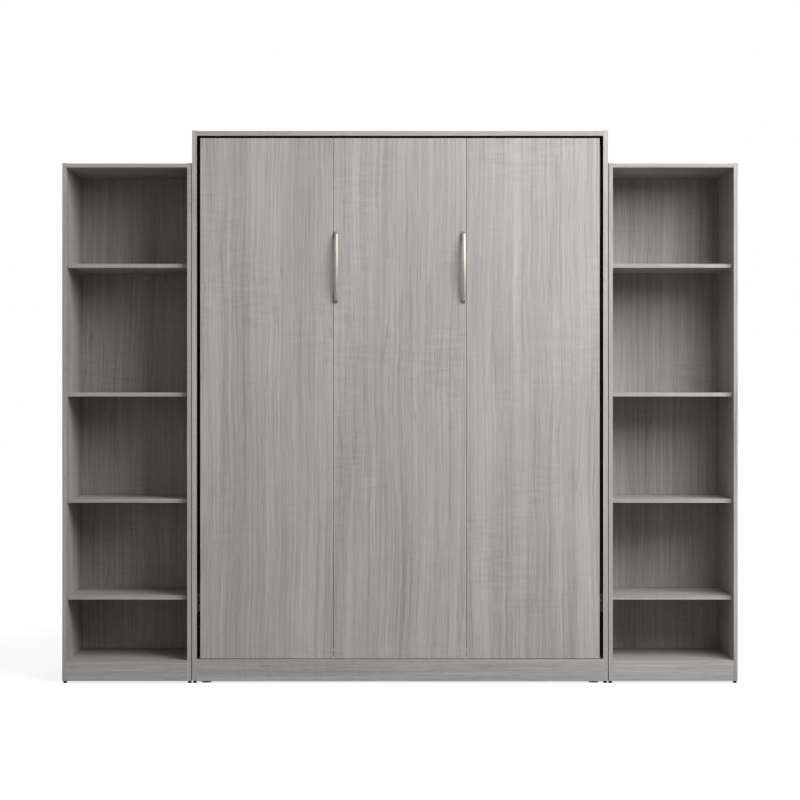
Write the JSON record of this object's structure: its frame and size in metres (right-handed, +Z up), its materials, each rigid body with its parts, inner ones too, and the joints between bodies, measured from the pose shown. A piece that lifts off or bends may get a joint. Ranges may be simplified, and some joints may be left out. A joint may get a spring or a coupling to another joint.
{
  "type": "murphy wall bed",
  "caption": "Upright wall bed that folds down from a grey wood-grain cabinet on steel legs with gas pistons, flanked by open shelving towers.",
  "frame": {"origin": "middle of the footprint of the closed bed, handles included, on the floor", "axes": "+Z up, the front faces -Y, +X to the right when facing the front"},
  "size_m": [2.702, 0.4378, 2.2122],
  "materials": {
    "laminate_vertical": "satin",
    "laminate_horizontal": "satin",
    "laminate_face": "satin",
    "pine_block": "matte",
    "black_liner": "matte",
    "plate_steel": "satin",
    "nylon": "satin",
    "black_rubber": "matte",
    "black_plastic": "matte",
    "screw_steel": "satin",
    "frame_steel": "satin",
    "ply": "satin",
    "ticking": "matte",
    "strap_webbing": "matte",
    "satin_nickel": "satin",
    "leg_steel": "satin",
    "piston_black": "gloss",
    "piston_bright": "polished",
    "pin_nickel": "satin"
  },
  "bodies": {
    "cabinet": {"cabinet_side_left": "laminate_vertical", "cabinet_side_right": "laminate_vertical", "cabinet_top": "laminate_horizontal", "base_rail": "laminate_horizontal", "corner_blocks": "pine_block", "wall_rail": "laminate_horizontal", "headboard_panel": "laminate_vertical", "edge_liners": "black_liner", "pivot_plates": "plate_steel", "pivot_bushes": "nylon", "bed_stops": "black_rubber", "feet": "black_plastic", "cabinet_screws": "screw_steel", "left_tower_outer_side": "laminate_vertical", "left_tower_inner_side": "laminate_vertical", "left_tower_top": "laminate_horizontal", "left_tower_bottom": "laminate_horizontal", "left_tower_fixed_shelf": "laminate_horizontal", "left_tower_shelf_low": "laminate_horizontal", "left_tower_shelf_mid": "laminate_horizontal", "left_tower_shelf_high": "laminate_horizontal", "left_tower_kick_board": "laminate_horizontal", "left_tower_back": "laminate_vertical", "right_tower_outer_side": "laminate_vertical", "right_tower_inner_side": "laminate_vertical", "right_tower_top": "laminate_horizontal", "right_tower_bottom": "laminate_horizontal", "right_tower_fixed_shelf": "laminate_horizontal", "right_tower_shelf_low": "laminate_horizontal", "right_tower_shelf_mid": "laminate_horizontal", "right_tower_shelf_high": "laminate_horizontal", "right_tower_kick_board": "laminate_horizontal", "right_tower_back": "laminate_vertical", "shelf_pins": "pin_nickel"},
    "bed": {"face_panel_left": "laminate_face", "face_panel_center": "laminate_face", "face_panel_right": "laminate_face", "frame_rail_left": "frame_steel", "frame_rail_right": "frame_steel", "frame_end_rails": "frame_steel", "frame_center_beam": "frame_steel", "slats": "ply", "slat_holders": "black_plastic", "mattress": "ticking", "mattress_straps": "strap_webbing", "handle_left": "satin_nickel", "handle_right": "satin_nickel", "bed_screws": "screw_steel", "bed_pivot_pins": "plate_steel", "piston_brackets": "plate_steel"},
    "leg_left_body": {"leg_left": "leg_steel", "leg_foot_left": "black_rubber"},
    "tie_rod_left_body": {"tie_rod_left": "leg_steel"},
    "piston_cylinder_left_body": {"piston_cylinder_left": "piston_black"},
    "piston_rod_left_body": {"piston_rod_left": "piston_bright"},
    "leg_right_body": {"leg_right": "leg_steel", "leg_foot_right": "black_rubber"},
    "tie_rod_right_body": {"tie_rod_right": "leg_steel"},
    "piston_cylinder_right_body": {"piston_cylinder_right": "piston_black"},
    "piston_rod_right_body": {"piston_rod_right": "piston_bright"}
  },
  "joints": [
    {"name": "bed_fold", "type": "hinge", "parent": "cabinet", "child": "bed", "pos_m": [0, -0.16095, 0.328], "axis": [1, 0, 0], "range_deg": [0, 90]},
    {"name": "leg_left_swing", "type": "hinge", "parent": "bed", "child": "leg_left_body", "pos_m": [-0.803, -0.14095, 2.14018], "axis": [1, 0, 0], "range_deg": [-90, 0]},
    {"name": "tie_rod_left_swing", "type": "hinge", "parent": "cabinet", "child": "tie_rod_left_body", "pos_m": [-0.8085, -0.12595, 0.363], "axis": [1, 0, 0], "range_deg": [0, 90]},
    {"name": "piston_left_tilt", "type": "hinge", "parent": "cabinet", "child": "piston_cylinder_left_body", "pos_m": [-0.7885, -0.06095, 0.678], "axis": [1, 0, 0], "range_deg": [0, 5.42]},
    {"name": "piston_left_stroke", "type": "slide", "parent": "piston_cylinder_left_body", "child": "piston_rod_left_body", "axis": [0, 0.017, 0.9999], "range_m": [0, 0.2113]},
    {"name": "leg_right_swing", "type": "hinge", "parent": "bed", "child": "leg_right_body", "pos_m": [0.803, -0.14095, 2.14018], "axis": [1, 0, 0], "range_deg": [-90, 0]},
    {"name": "tie_rod_right_swing", "type": "hinge", "parent": "cabinet", "child": "tie_rod_right_body", "pos_m": [0.8085, -0.12595, 0.363], "axis": [1, 0, 0], "range_deg": [0, 90]},
    {"name": "piston_right_tilt", "type": "hinge", "parent": "cabinet", "child": "piston_cylinder_right_body", "pos_m": [0.7885, -0.06095, 0.678], "axis": [1, 0, 0], "range_deg": [0, 5.42]},
    {"name": "piston_right_stroke", "type": "slide", "parent": "piston_cylinder_right_body", "child": "piston_rod_right_body", "axis": [0, 0.017, 0.9999], "range_m": [0, 0.2113]}
  ],
  "couplings": [
    {"joint": "leg_left_swing", "follows": "bed_fold", "ratio": -1},
    {"joint": "tie_rod_left_swing", "follows": "bed_fold", "ratio": 1},
    {"joint": "piston_left_tilt", "follows": "bed_fold", "ratio": 0.060087},
    {"joint": "piston_left_stroke", "follows": "bed_fold", "m_per_rad": 0.13451},
    {"joint": "leg_right_swing", "follows": "bed_fold", "ratio": -1},
    {"joint": "tie_rod_right_swing", "follows": "bed_fold", "ratio": 1},
    {"joint": "piston_right_tilt", "follows": "bed_fold", "ratio": 0.060087},
    {"joint": "piston_right_stroke", "follows": "bed_fold", "m_per_rad": 0.13451}
  ]
}
